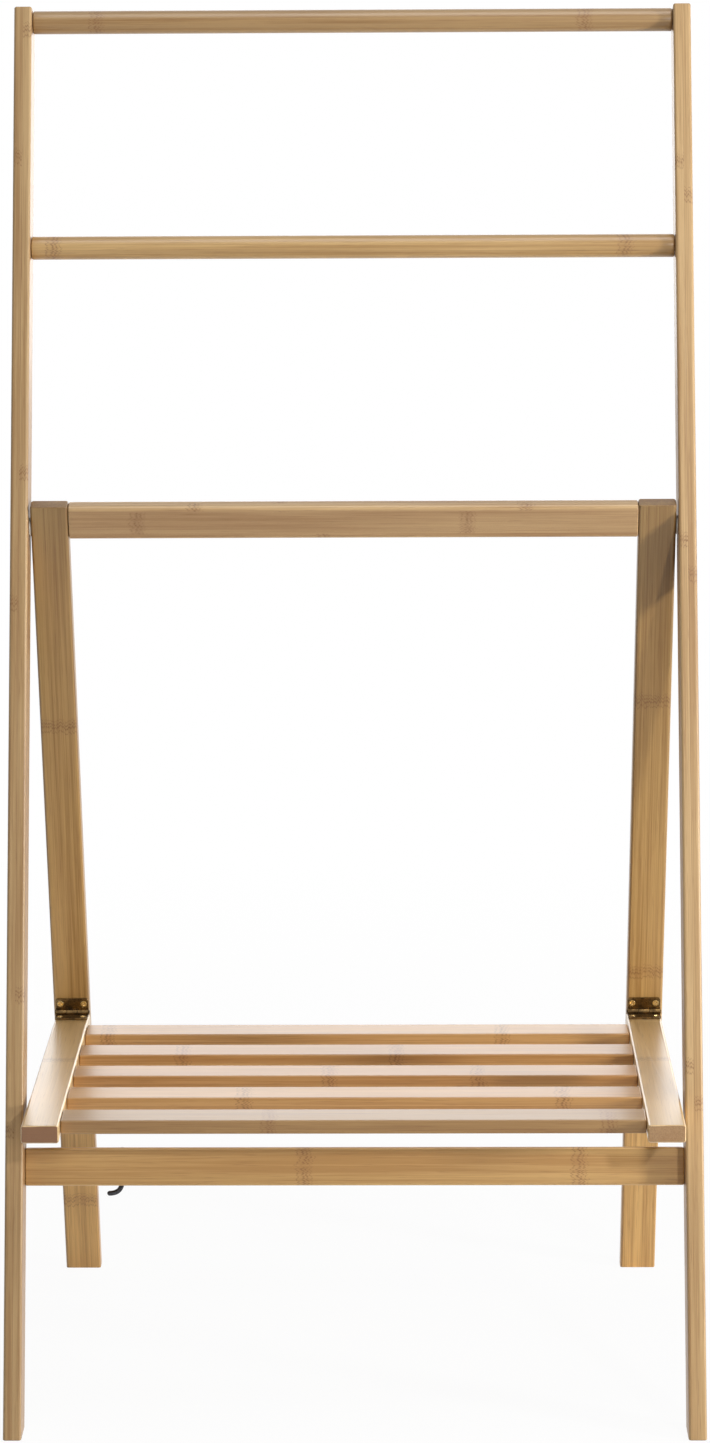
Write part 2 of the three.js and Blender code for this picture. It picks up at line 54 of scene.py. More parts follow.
# The camera: a long lens almost three metres in front of the rack, a little above its top bar and
# looking slightly down. The picture was cropped high, so the lens is shifted down.
picture_height = 1443
focal_length_in_pixels = 3929
shift_in_pixels = 150
camera_place = Vector((0.0393, -2.8394, 1.061))
camera_down, camera_yaw, camera_roll = (math.radians(angle) for angle in (9.34, -0.77, -0.31))
level_right = Vector((math.cos(camera_yaw), -math.sin(camera_yaw), 0))
level_ahead = Vector((math.sin(camera_yaw), math.cos(camera_yaw), 0))
plumb = Vector((0, 0, 1))
ahead = level_ahead * math.cos(camera_down) - plumb * math.sin(camera_down)
upward = level_ahead * math.sin(camera_down) + plumb * math.cos(camera_down)
right = level_right * math.cos(camera_roll) + upward * math.sin(camera_roll)
upward = upward * math.cos(camera_roll) - level_right * math.sin(camera_roll)
facing_ahead = Matrix((right, upward, -ahead)).transposed().to_4x4()
lens = bpy.data.cameras.new("long lens")
lens.sensor_width = 36
lens.lens = lens.sensor_width * focal_length_in_pixels / picture_height
lens.shift_y = -shift_in_pixels / picture_height
lens.clip_start, lens.clip_end = 0.05, 60
camera = bpy.data.objects.new("camera", lens)
camera.matrix_world = Matrix.Translation(camera_place) @ facing_ahead
scene.collection.objects.link(camera)
scene.camera = camera

# The studio: a wide round paper floor, plain white to the camera and to polished surfaces. Near the
# rack it keeps a little of its own shade, so the shadow stays, and it melts into the white further
# out.
floor_radius, floor_sides = 7.0, 96
floor_drop = 0.0004
paper_grey = 0.92
shade_reach, white_reach = 0.3, 1.6
white_share_near = 0.95


def socket_value(tree, socket, value):
    """Sets a socket to a number or colour, or links another socket to it."""
    if isinstance(value, bpy.types.NodeSocket):
        tree.links.new(value, socket)
    else:
        socket.default_value = value


def maths(tree, operation, *terms, clamp=False):
    """One step of arithmetic on numbers or sockets."""
    step = tree.nodes.new("ShaderNodeMath")
    step.operation = operation
    step.use_clamp = clamp
    for place, term in enumerate(terms):
        socket_value(tree, step.inputs[place], term)
    return step.outputs[0]


def climb(tree, value, start, end, low=0.0, high=1.0, shape="SMOOTHSTEP"):
    """low up to the start, high from the end on, and a smooth or a LINEAR rise between them."""
    step = tree.nodes.new("ShaderNodeMapRange")
    step.interpolation_type = shape
    socket_value(tree, step.inputs["Value"], value)
    step.inputs["From Min"].default_value = start
    step.inputs["From Max"].default_value = end
    step.inputs["To Min"].default_value = low
    step.inputs["To Max"].default_value = high
    return step.outputs[0]


def emptied_tree(owner):
    """The node tree of a material or a world, with nothing in it."""
    owner.use_nodes = True
    owner.node_tree.nodes.clear()
    return owner.node_tree


def looked_at(tree):
    """1 for a ray that looks, straight, by a reflection or through glass, and 0 for one that lights."""
    rays = tree.nodes.new("ShaderNodeLightPath").outputs
    seen = maths(tree, "MAXIMUM", rays["Is Camera Ray"], rays["Is Glossy Ray"])
    return maths(tree, "MAXIMUM", seen, rays["Is Transmission Ray"])


around = np.linspace(0, 2 * np.pi, floor_sides, endpoint=False)
floor_rim = np.stack([np.cos(around), np.sin(around), np.zeros(floor_sides)], -1) * floor_radius
floor_rim[:, 2] = -floor_drop
floor_mesh = bpy.data.meshes.new("paper floor")
floor_mesh.from_pydata(floor_rim.tolist(), [], [list(range(floor_sides))])
floor = bpy.data.objects.new("paper_floor", floor_mesh)
scene.collection.objects.link(floor)

white_paper = bpy.data.materials.new("white paper")
paper = emptied_tree(white_paper)
paper_matte = paper.nodes.new("ShaderNodeBsdfDiffuse")
paper_matte.inputs["Color"].default_value = (paper_grey, paper_grey, paper_grey, 1)
paper_glow = paper.nodes.new("ShaderNodeEmission")
paper_glow.inputs["Color"].default_value = (1, 1, 1, 1)
paper_place = paper.nodes.new("ShaderNodeTexCoord")
from_middle = paper.nodes.new("ShaderNodeVectorMath")
from_middle.operation = "LENGTH"
paper.links.new(paper_place.outputs["Object"], from_middle.inputs[0])
white_share = climb(
    paper, from_middle.outputs["Value"], shade_reach, white_reach, white_share_near, 1.0, "LINEAR"
)
paper_mix = paper.nodes.new("ShaderNodeMixShader")
paper.links.new(maths(paper, "MULTIPLY", looked_at(paper), white_share), paper_mix.inputs["Fac"])
paper.links.new(paper_matte.outputs[0], paper_mix.inputs[1])
paper.links.new(paper_glow.outputs[0], paper_mix.inputs[2])
paper_out = paper.nodes.new("ShaderNodeOutputMaterial")
paper.links.new(paper_mix.outputs[0], paper_out.inputs["Surface"])
floor_mesh.materials.append(white_paper)

# The light: a small soft box far out on the right, a weaker one on the right in front, wide ones
# from the left and overhead, and one low behind that glances off the shelf's lacquer, in a surround
# that looks white and gives hardly any light.
surround_light = 0.04
rack_middle = (0, 0, 0.5)
surround = bpy.data.worlds.new("white surround")
scene.world = surround
air = emptied_tree(surround)
air_glow = air.nodes.new("ShaderNodeBackground")
air_glow.inputs["Color"].default_value = (1, 1, 1, 1)
air_level = climb(air, looked_at(air), 0.0, 1.0, surround_light, 1.0, "LINEAR")
air.links.new(air_level, air_glow.inputs["Strength"])
air_out = air.nodes.new("ShaderNodeOutputWorld")
air.links.new(air_glow.outputs[0], air_out.inputs["Surface"])


def soft_box(name, place, aim, width, height, watts):
    """A rectangular lamp at place that faces aim."""
    lamp = bpy.data.lights.new(name, "AREA")
    lamp.shape = "RECTANGLE"
    lamp.size, lamp.size_y, lamp.energy = width, height, watts
    holder = bpy.data.objects.new(name.replace(" ", "_"), lamp)
    facing = (Vector(aim) - Vector(place)).to_track_quat("-Z", "Y").to_matrix().to_4x4()
    holder.matrix_world = Matrix.Translation(Vector(place)) @ facing
    scene.collection.objects.link(holder)
    return holder


soft_box("key box", (2.16, -0.95, 0.62), rack_middle, 0.25, 0.4, watts=37)
soft_box("second box", (1.07, -1.98, 1.43), rack_middle, 0.16, 0.16, watts=14)
soft_box("left fill", (-2.6, -2.2, 1.2), rack_middle, 1.8, 1.8, watts=2)
soft_box("overhead box", (0.2, -0.5, 3.0), (0, 0, 0), 1.6, 1.2, watts=26)
back_box = soft_box("back box", (0.3, 2.2, 0.95), (0, 0, 0.3), 2.6, 1.0, watts=16)
back_box.visible_camera = False

# FRONT POSTS: the two long boards of the front frame, laminated bamboo, planed, with eased edges
# and level-cut feet. They lean back, and are bored on the outside for the screws and pivot bolts.
lean_of_front = math.radians(15.7)
up_the_posts = Vector((0, math.sin(lean_of_front), math.cos(lean_of_front)))
behind_the_posts = Vector((0, math.cos(lean_of_front), -math.sin(lean_of_front)))
# A place for a knot that no board reaches, in metres from its middle
off_the_board = 9.0
pale_bamboo = (0.66, 0.44, 0.21, 1)
honey_bamboo = (0.44, 0.25, 0.10, 1)
brown_bamboo = (0.22, 0.085, 0.024, 1)


def speckle(tree, place, cells, detail=2.0, roughness=0.5):
    """Soft noise between about 0.2 and 0.8, with so many cells to each unit of the place along its
    three directions. The bamboo's places are in metres."""
    stretched = tree.nodes.new("ShaderNodeVectorMath")
    stretched.operation = "MULTIPLY"
    tree.links.new(place, stretched.inputs[0])
    stretched.inputs[1].default_value = cells
    noise = tree.nodes.new("ShaderNodeTexNoise")
    noise.inputs["Scale"].default_value = 1.0
    noise.inputs["Detail"].default_value = detail
    noise.inputs["Roughness"].default_value = roughness
    tree.links.new(stretched.outputs[0], noise.inputs["Vector"])
    return noise.outputs["Fac"]


def sway(tree, noise, strength):
    """The noise's rise and fall about its middle, strength times as wide."""
    return maths(tree, "MULTIPLY", maths(tree, "SUBTRACT", noise, 0.5), strength)


def tinted(tree, factor, first, second):
    """Two colours mixed by a factor."""
    step = tree.nodes.new("ShaderNodeMix")
    step.data_type = "RGBA"
    socket_value(tree, step.inputs[0], factor)
    socket_value(tree, step.inputs[6], first)
    socket_value(tree, step.inputs[7], second)
    return step.outputs[2]


def new_skin_group(name, inputs):
    """A node group with these inputs, which puts out a surface's Colour, Roughness and Height."""
    tree = bpy.data.node_groups.new(name, "ShaderNodeTree")
    for label, kind, value in inputs:
        socket = tree.interface.new_socket(
            name=label, in_out="INPUT", socket_type="NodeSocket" + kind
        )
        socket.default_value = value
    for label, kind in (("Colour", "Color"), ("Roughness", "Float"), ("Height", "Float")):
        tree.interface.new_socket(name=label, in_out="OUTPUT", socket_type="NodeSocket" + kind)
    given = tree.nodes.new("NodeGroupInput").outputs
    result = tree.nodes.new("NodeGroupOutput").inputs
    return tree, given, result


def make_bamboo_group():
    """Laminated bamboo. Along is the place on the board in metres: x along the fibres, y across the
    wide face, z through the thickness. Facing is the surface's direction in the same frame. Painted
    Light Slope is how much lighter the colour is painted along the fibres, per metre: painted light and
    shade, not the wood's own tone."""
    tree, given, result = new_skin_group(
        "laminated bamboo",
        (
            ("Along", "Vector", (0, 0, 0)),
            ("Facing", "Vector", (0, 0, 1)),
            ("Seed", "Float", 0.0),
            ("Strip Width", "Float", 0.018),
            ("Strip Shift", "Float", 0.0),
            ("Layer Depth", "Float", 0.0065),
            ("Layer Shift", "Float", 0.0),
            ("Layer Contrast", "Float", 0.0),
            ("First Knot", "Float", off_the_board),
            ("Second Knot", "Float", off_the_board),
            ("Third Knot", "Float", off_the_board),
            ("Painted Light Slope", "Float", 0.0),
            ("End Shade", "Float", 0.66),
            ("Pale", "Color", pale_bamboo),
            ("Honey", "Color", honey_bamboo),
            ("Brown", "Color", brown_bamboo),
        ),
    )
    split = tree.nodes.new("ShaderNodeSeparateXYZ")
    tree.links.new(given["Along"], split.inputs[0])
    x, y, z = split.outputs

    # Which strip of the wide face and which layer of the thickness this point is in
    def lamination(place, shift, width):
        return maths(tree, "DIVIDE", maths(tree, "ADD", place, given[shift]), given[width])

    strip_place = lamination(y, "Strip Shift", "Strip Width")
    layer_place = lamination(z, "Layer Shift", "Layer Depth")
    strip = maths(tree, "FLOOR", strip_place)
    layer = maths(tree, "FLOOR", layer_place)
    tag = tree.nodes.new("ShaderNodeCombineXYZ")
    for place, source in enumerate((strip, layer, given["Seed"])):
        tree.links.new(source, tag.inputs[place])
    chance = tree.nodes.new("ShaderNodeTexWhiteNoise")
    chance.noise_dimensions = "3D"
    tree.links.new(tag.outputs[0], chance.inputs["Vector"])
    luck = tree.nodes.new("ShaderNodeSeparateColor")
    tree.links.new(chance.outputs["Color"], luck.inputs[0])

    # Each strip has its own fibres: the place is moved far away by the strip's own luck
    jump = tree.nodes.new("ShaderNodeCombineXYZ")
    for place, farthest in enumerate((9.0, 3.0, 3.0)):
        moved = maths(tree, "MULTIPLY", luck.outputs[place], farthest)
        tree.links.new(moved, jump.inputs[place])
    own_place = tree.nodes.new("ShaderNodeVectorMath")
    own_place.operation = "ADD"
    tree.links.new(given["Along"], own_place.inputs[0])
    tree.links.new(jump.outputs[0], own_place.inputs[1])
    own = own_place.outputs[0]
    clouds = speckle(tree, own, cells=(4.5, 55, 55))
    bands = speckle(tree, own, cells=(5, 420, 420), detail=3.0, roughness=0.6)
    fibres = speckle(tree, own, cells=(14, 1700, 1700), roughness=0.6)
    dashes = speckle(tree, own, cells=(42, 1500, 1500), detail=1.0)

    # Knots: the culm's joints, a short band of wavering brown lines across the strip. In strips
    # other than the first they stand elsewhere along the board
    long_wave = sway(tree, speckle(tree, own, cells=(8, 240, 240)), strength=0.007)
    short_wave = sway(tree, speckle(tree, own, cells=(30, 700, 700)), strength=0.009)
    wave = maths(tree, "ADD", long_wave, short_wave)
    hatch = climb(tree, speckle(tree, own, cells=(260, 2300, 2300), detail=1.0), start=0.34, end=0.5)
    patches = climb(tree, speckle(tree, own, cells=(60, 170, 170), detail=1.0), start=0.22, end=0.42)
    off_first_strip = maths(tree, "MINIMUM", maths(tree, "ABSOLUTE", strip), 1.0)
    stray_reach = 0.30
    stray = maths(tree, "MULTIPLY", sway(tree, luck.outputs[1], stray_reach), off_first_strip)
    knot_half_width = 0.006
    # Each line of a knot: its place along the board, its half width and its strength
    knot_lines = (
        (0.0, 0.0013, 1.0),
        (-0.0042, 0.0009, 0.85),
        (0.0028, 0.0010, 0.95),
        (0.0056, 0.0006, 0.7),
    )
    knots = strokes = 0.0
    for label in ("First Knot", "Second Knot", "Third Knot"):
        offset = maths(tree, "SUBTRACT", maths(tree, "SUBTRACT", x, given[label]), stray)
        near = maths(tree, "DIVIDE", offset, knot_half_width)
        near = maths(tree, "SUBTRACT", 1.0, maths(tree, "MULTIPLY", near, near), clamp=True)
        knots = maths(tree, "MAXIMUM", knots, near)
        bent = maths(tree, "ADD", offset, wave)
        for place, half_width, strength in knot_lines:
            gap = maths(tree, "ABSOLUTE", maths(tree, "SUBTRACT", bent, place))
            stroke = maths(tree, "SUBTRACT", 1.0, climb(tree, gap, 0.0, half_width))
            strokes = maths(tree, "MAXIMUM", strokes, maths(tree, "MULTIPLY", stroke, strength))
    strokes = maths(tree, "MULTIPLY", maths(tree, "MULTIPLY", strokes, hatch), patches)

    # Seams: a hair-thin glue line between strips and between layers
    def seam(place, lamination_width, half_line):
        edge = maths(tree, "FRACT", place)
        edge = maths(tree, "MINIMUM", edge, maths(tree, "SUBTRACT", 1.0, edge))
        edge = maths(tree, "MULTIPLY", edge, lamination_width)
        return maths(tree, "SUBTRACT", 1.0, climb(tree, edge, 0.0, half_line))

    strip_seam = seam(strip_place, given["Strip Width"], half_line=0.00045)
    layer_seam = seam(layer_place, given["Layer Depth"], half_line=0.00035)
    seams = maths(tree, "MAXIMUM", strip_seam, layer_seam)

    # End grain: the fibres' cut ends, darker and dotted
    facing = tree.nodes.new("ShaderNodeSeparateXYZ")
    tree.links.new(given["Facing"], facing.inputs[0])
    end = climb(tree, maths(tree, "ABSOLUTE", facing.outputs[0]), start=0.72, end=0.9)
    dots = climb(tree, speckle(tree, own, cells=(300, 1300, 1300), detail=1.0), start=0.42, end=0.66)

    # Tone: 0 is honey and 1 is pale, from the strip's luck and the noises
    tone = sway(tree, luck.outputs[0], strength=0.50)
    for noise, strength in ((clouds, 1.5), (bands, 2.5), (fibres, 1.4)):
        tone = maths(tree, "ADD", tone, sway(tree, noise, strength))
    layer_tone = maths(tree, "MULTIPLY", maths(tree, "ADD", layer, 0.5), given["Layer Contrast"])
    tone = maths(tree, "ADD", tone, layer_tone)
    tone = maths(tree, "ADD", tone, 0.5, clamp=True)

    def browned(colour, mask, amount):
        return tinted(tree, maths(tree, "MULTIPLY", mask, amount), colour, given["Brown"])

    colour = tinted(tree, tone, given["Honey"], given["Pale"])
    colour = browned(colour, climb(tree, dashes, start=0.60, end=0.76), amount=0.34)
    colour = browned(colour, knots, amount=0.12)
    colour = browned(colour, strokes, amount=0.72)
    colour = browned(colour, seams, amount=0.30)
    sawn = tinted(tree, given["End Shade"], colour, given["Brown"])
    sawn = browned(sawn, dots, amount=0.35)
    colour = tinted(tree, end, colour, sawn)
    # Painted light and shade: the colour is made lighter or darker along the fibres by the slope, not
    # by the wood's own tone
    painted_light_level = maths(tree, "ADD", 1.0, maths(tree, "MULTIPLY", x, given["Painted Light Slope"]))
    level = tree.nodes.new("ShaderNodeVectorMath")
    level.operation = "SCALE"
    tree.links.new(colour, level.inputs[0])
    tree.links.new(painted_light_level, level.inputs["Scale"])
    tree.links.new(level.outputs[0], result["Colour"])

    rough = maths(tree, "ADD", 0.40, sway(tree, bands, strength=0.25))
    rough = maths(tree, "ADD", rough, maths(tree, "MULTIPLY", end, 0.18))
    tree.links.new(rough, result["Roughness"])
    height = maths(tree, "MULTIPLY", fibres, 0.35)
    for mask, rise in ((seams, -0.6), (strokes, -0.25), (bands, 0.4)):
        height = maths(tree, "ADD", height, maths(tree, "MULTIPLY", mask, rise))
    tree.links.new(height, result["Height"])
    return tree


def skin_material(name, group, values, strength, distance):
    """A material whose colour, roughness and relief come from the group, given these values. The
    relief is distance deep, in metres, at full strength."""
    material = bpy.data.materials.new(name)
    material.use_nodes = True
    tree = material.node_tree
    shader = tree.nodes["Principled BSDF"]
    skin = tree.nodes.new("ShaderNodeGroup")
    skin.node_tree = group
    for label, value in values.items():
        skin.inputs[label].default_value = value
    relief = tree.nodes.new("ShaderNodeBump")
    relief.inputs["Strength"].default_value = strength
    relief.inputs["Distance"].default_value = distance
    tree.links.new(skin.outputs["Height"], relief.inputs["Height"])
    tree.links.new(skin.outputs["Colour"], shader.inputs["Base Color"])
    tree.links.new(skin.outputs["Roughness"], shader.inputs["Roughness"])
    tree.links.new(relief.outputs[0], shader.inputs["Normal"])
    return material, tree, skin, shader


bamboo_group = make_bamboo_group()


def bamboo_material(name, along, across, centre, seed, knots=(), strips=0.018, strip_shift=0.009,
                    layers=0.0065, layer_shift=0.0, layer_contrast=0.0, pale=pale_bamboo,
                    honey=honey_bamboo, lacquer=0.35, painted_light_slope=0.0, end_shade=0.66):
    """Lacquered bamboo for one board. The fibres run along, the wide face lies across and centre is
    the board's middle, so the fibres, strips and knots follow the board however it leans. Knots are
    places along the fibres from the middle."""
    values = {
        "Seed": seed,
        "Strip Width": strips,
        "Strip Shift": strip_shift,
        "Layer Depth": layers,
        "Layer Shift": layer_shift,
        "Layer Contrast": layer_contrast,
        "Painted Light Slope": painted_light_slope,
        "End Shade": end_shade,
        "Pale": pale,
        "Honey": honey,
        "Brown": brown_bamboo,
    }
    values.update(zip(("First Knot", "Second Knot", "Third Knot"), knots))
    material, tree, bamboo, shader = skin_material(
        name, bamboo_group, values, strength=0.25, distance=0.0004
    )
    shader.inputs["Coat Weight"].default_value = lacquer
    shader.inputs["Coat Roughness"].default_value = 0.28
    place = tree.nodes.new("ShaderNodeTexCoord")
    turn = Matrix((Vector(along), Vector(across), Vector(along).cross(Vector(across))))
    board_place = tree.nodes.new("ShaderNodeMapping")
    board_place.vector_type = "POINT"
    board_place.inputs["Location"].default_value = -(turn @ Vector(centre))
    board_place.inputs["Rotation"].default_value = turn.to_euler("XYZ")
    tree.links.new(place.outputs["Object"], board_place.inputs["Vector"])
    tree.links.new(board_place.outputs[0], bamboo.inputs["Along"])
    board_facing = tree.nodes.new("ShaderNodeMapping")
    board_facing.vector_type = "POINT"
    board_facing.inputs["Rotation"].default_value = turn.to_euler("XYZ")
    tree.links.new(place.outputs["Normal"], board_facing.inputs["Vector"])
    tree.links.new(board_facing.outputs[0], bamboo.inputs["Facing"])
    return material


def toned(colour, tone):
    """The colour made lighter or darker."""
    return tuple(part * tone for part in colour[:3]) + (1,)


def middle_of(node):
    """The middle of the node's box."""
    low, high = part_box(node)
    return (low + high) / 2


def finished(piece, node, material, body):
    """The piece takes its node's place, its finish, and the body and slot it belongs to."""
    piece.data.materials.clear()
    piece.data.materials.append(material)
    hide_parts(node)
    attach(piece, body)


def dressed_copy(node, body, material, crease=40):
    """A piece with the solid's own shape, welded, with its rounded edges and bores shaded smooth."""
    mesh = nodes[node].data.copy()
    mesh.name = node + " surface"
    piece = bpy.data.objects.new("shown_" + node, mesh)
    scene.collection.objects.link(piece)
    welded = bmesh.new()
    welded.from_mesh(mesh)
    bmesh.ops.remove_doubles(welded, verts=welded.verts, dist=2e-6)
    welded.to_mesh(mesh)
    welded.free()
    mesh.shade_smooth()
    mesh.set_sharp_from_angle(angle=math.radians(crease))
    shading = piece.modifiers.new("even shading", "WEIGHTED_NORMAL")
    shading.keep_sharp = True
    shading.weight = 100
    finished(piece, node, material, body)


post_knots = {"left": (-0.33, 0.05, 0.38), "right": (-0.22, 0.16, 0.44)}
for side, tone, seed, layer_contrast in (("left", 0.88, 3.1, 0.0), ("right", 0.95, 8.4, 0.45)):
    node = side + "_post"
    post_bamboo = bamboo_material(
        side + " post bamboo",
        up_the_posts,
        behind_the_posts,
        middle_of(node),
        seed=seed,
        knots=post_knots[side],
        strips=0.019,
        strip_shift=0.004,
        layer_contrast=layer_contrast,
        lacquer=0.12,
        pale=toned(pale_bamboo, tone),
        honey=toned(honey_bamboo, tone),
    )
    dressed_copy(node, "front_frame", post_bamboo)

# TOWEL BARS: two bamboo rods turned round and sanded, butted between the posts and held by a screw
# at each end. Their ends are slightly eased.
across_the_rack = Vector((1, 0, 0))
bar_radius, bar_ease, bar_rows = 0.0085, 0.001, 60
dark_bar_pale, dark_bar_honey = (0.44, 0.27, 0.11, 1), (0.295, 0.152, 0.046, 1)
bar_pale, bar_honey = (0.66, 0.43, 0.18, 1), (0.44, 0.25, 0.085, 1)


def lapped_quads(rows, segments):
    """The quads between neighbouring rows of a grid whose last column meets its first."""
    row, column = np.meshgrid(np.arange(rows - 1) * segments, np.arange(segments), indexing="ij")
    beside = (column + 1) % segments
    above = row + segments
    quads = np.stack([row + column, row + beside, above + beside, above + column], -1)
    return quads.reshape(-1, 4).tolist()


def closed_piece(name, points, segments):
    """A smooth piece from rows of points, each row a loop, whose ends shrink to one point each."""
    mesh = bpy.data.meshes.new(name)
    mesh.from_pydata(points.reshape(-1, 3).tolist(), [], lapped_quads(len(points), segments))
    closed = bmesh.new()
    closed.from_mesh(mesh)
    bmesh.ops.remove_doubles(closed, verts=closed.verts, dist=1e-7)
    bmesh.ops.recalc_face_normals(closed, faces=closed.faces)
    closed.to_mesh(mesh)
    closed.free()
    mesh.shade_smooth()
    piece = bpy.data.objects.new(name, mesh)
    scene.collection.objects.link(piece)
    return piece


def turned_piece(name, profile, foot, direction, segments=64):
    """A surface of revolution: profile rows are (height, radius), carried round the line that starts
    at foot and runs along direction, closed where the radius is 0."""
    profile = np.array(profile, float)
    axis = Vector(direction).normalized()
    side = axis.orthogonal().normalized()
    other = axis.cross(side)
    angle = np.linspace(0, 2 * np.pi, segments, endpoint=False)
    spoke = np.cos(angle)[:, None] * np.array(side) + np.sin(angle)[:, None] * np.array(other)
    heights, radii = profile[:, :1, None], profile[:, 1:, None]
    return closed_piece(name, radii * spoke + heights * np.array(axis) + np.array(foot), segments)


bend = np.linspace(0, np.pi / 2, 5)
eased_end = bar_ease * np.column_stack([1 - np.cos(bend), np.sin(bend) - 1]) + (0, bar_radius)
for node, knots, seed, pale, honey in (
    ("top_bar", (0.172, -0.19), 21.0, dark_bar_pale, dark_bar_honey),
    ("second_bar", (-0.221, 0.20), 34.0, bar_pale, bar_honey),
):
    low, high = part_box(node)
    middle = middle_of(node)
    length = high.x - low.x
    along_bar = np.linspace(bar_ease, length - bar_ease, bar_rows)[1:-1]
    straight = np.column_stack([along_bar, np.full(len(along_bar), bar_radius)])
    far_end = eased_end[::-1] * (-1, 1) + (length, 0)
    profile = np.concatenate([[[0, 0]], eased_end, straight, far_end, [[length, 0]]])
    bar = turned_piece("shown_" + node, profile, (low.x, middle.y, middle.z), across_the_rack)
    bar_bamboo = bamboo_material(
        node.replace("_", " ") + " bamboo",
        across_the_rack,
        up_the_posts,
        middle,
        seed=seed,
        knots=knots,
        strips=0.02,
        strip_shift=0.01,
        layers=0.02,
        layer_shift=0.01,
        pale=pale,
        honey=honey,
    )
    finished(bar, node, bar_bamboo, "front_frame")

# FRONT STRETCHER: the board that ties the posts together under the shelf, flush with their backs,
# glued and held by two screws at each end.
stretcher_bamboo = bamboo_material(
    "front stretcher bamboo",
    across_the_rack,
    up_the_posts,
    middle_of("front_stretcher"),
    seed=5.5,
    knots=(-0.036, 0.161),
    strips=0.05,
    strip_shift=0.025,
    pale=(0.78, 0.50, 0.19, 1),
    honey=(0.54, 0.30, 0.09, 1),
)
dressed_copy("front_stretcher", "front_frame", stretcher_bamboo)

# REAR LEGS: two boards that lean forward to the pivots, with level-cut feet. The hinges are let
# onto their front faces.
lean_of_rear = math.radians(16.1)
up_the_legs = Vector((0, -math.sin(lean_of_rear), math.cos(lean_of_rear)))
behind_the_legs = Vector((0, math.cos(lean_of_rear), math.sin(lean_of_rear)))
for side, seed, knots in (("left", 41.0, (0.155, -0.27)), ("right", 47.0, (0.175, -0.06))):
    node = side + "_rear_leg"
    leg_bamboo = bamboo_material(
        side + " rear leg bamboo",
        up_the_legs,
        across_the_rack,
        middle_of(node),
        seed=seed,
        knots=knots,
        strips=0.03,
        strip_shift=0.015,
        pale=(0.58, 0.35, 0.12, 1),
        honey=(0.36, 0.185, 0.05, 1),
        # Painted light and shade: the legs are painted lighter towards their feet, standing in for the
        # light the floor bounces onto them, and darker towards their tops, deepening the post's shadow
        # there
        painted_light_slope=-1.1,
        # Painted highlight: the legs' sawn tops are darkened only a little, so they stay pale like the
        # light caught on their rounded tops
        end_shade=0.15,
    )
    dressed_copy(node, "rear_frame", leg_bamboo)

# REAR TOP RAIL: the board between the legs' tops, with its upper edge rounded over, and the pegs
# that join it to the legs, hidden in the joint.
rail_bamboo = bamboo_material(
    "rear rail bamboo",
    across_the_rack,
    up_the_legs,
    middle_of("rear_top_rail"),
    seed=62.0,
    knots=(-0.158, 0.083),
    strips=0.0175,
    strip_shift=0.0085,
)
dressed_copy("rear_top_rail", "rear_frame", rail_bamboo)
for side in ("left", "right"):
    for level in ("lower", "upper"):
        node = side + "_top_rail_" + level + "_dowel"
        dowel_bamboo = bamboo_material(
            node.replace("_", " "), across_the_rack, plumb, middle_of(node), seed=71.0
        )
        dressed_copy(node, "rear_frame", dowel_bamboo)

# SHELF: two rails that swing on the hinges and five slats with stub tenons in them, the tops all
# flush. The rails are painted paler than the frames, partly their own tone and partly painted sheen
# standing in for the glint on their lacquered tops, and the front slat is the darkest.
front_to_back = Vector((0, 1, 0))
# Painted light and shade: the right rail is painted lighter, painted light where the right post shades
# it, and the left rail's sawn front end is painted darker, painted shade that falls on it
for side, seed, tone, end_shade in (("left", 81.0, 1.0, 0.95), ("right", 86.0, 1.06, 0.7)):
    node = side + "_shelf_rail"
    side_rail_bamboo = bamboo_material(
        side + " shelf rail bamboo",
        front_to_back,
        across_the_rack,
        middle_of(node),
        seed=seed,
        knots=(0.02,),
        strips=0.03,
        strip_shift=0.015,
        pale=toned((0.87, 0.61, 0.29), tone),
        honey=toned((0.70, 0.45, 0.175), tone),
        lacquer=0.85,
        end_shade=end_shade,
    )
    dressed_copy(node, "shelf", side_rail_bamboo)

# The slats' colour is deepened towards orange, partly their own tone and partly painted light standing
# in for the warm light bounced between neighbouring slats
slat_pale, slat_honey = (0.61, 0.335, 0.115, 1), (0.47, 0.225, 0.066, 1)
front_slat_pale, front_slat_honey = (0.42, 0.24, 0.085, 1), (0.30, 0.15, 0.046, 1)
slat_seed, slat_seed_step = 90.0, 3.7
slat_knots = ((-0.19, 0.11), (0.03, -0.13), (0.09, -0.02), (0.15, -0.08), (-0.06, 0.18))
for number, knots in enumerate(slat_knots, start=1):
    node = "shelf_slat_" + str(number)
    in_front = number == len(slat_knots)
    slat_bamboo = bamboo_material(
        node.replace("_", " ") + " bamboo",
        across_the_rack,
        front_to_back,
        middle_of(node),
        seed=slat_seed + slat_seed_step * number,
        knots=knots,
        strips=0.05,
        strip_shift=0.025,
        layers=0.007,
        layer_shift=0.0015,
        pale=front_slat_pale if in_front else slat_pale,
        honey=front_slat_honey if in_front else slat_honey,
    )
    dressed_copy(node, "shelf", slat_bamboo)

# FRAME SCREWS: eight zinc-plated countersunk screws with cross recesses, four driven through each
# post from the outside, into the ends of the bars and the stretcher.
frame_screw = {"head": 0.008, "shank": 0.004, "sink": 0.003, "rim": 0.0004, "tip": 0.006}


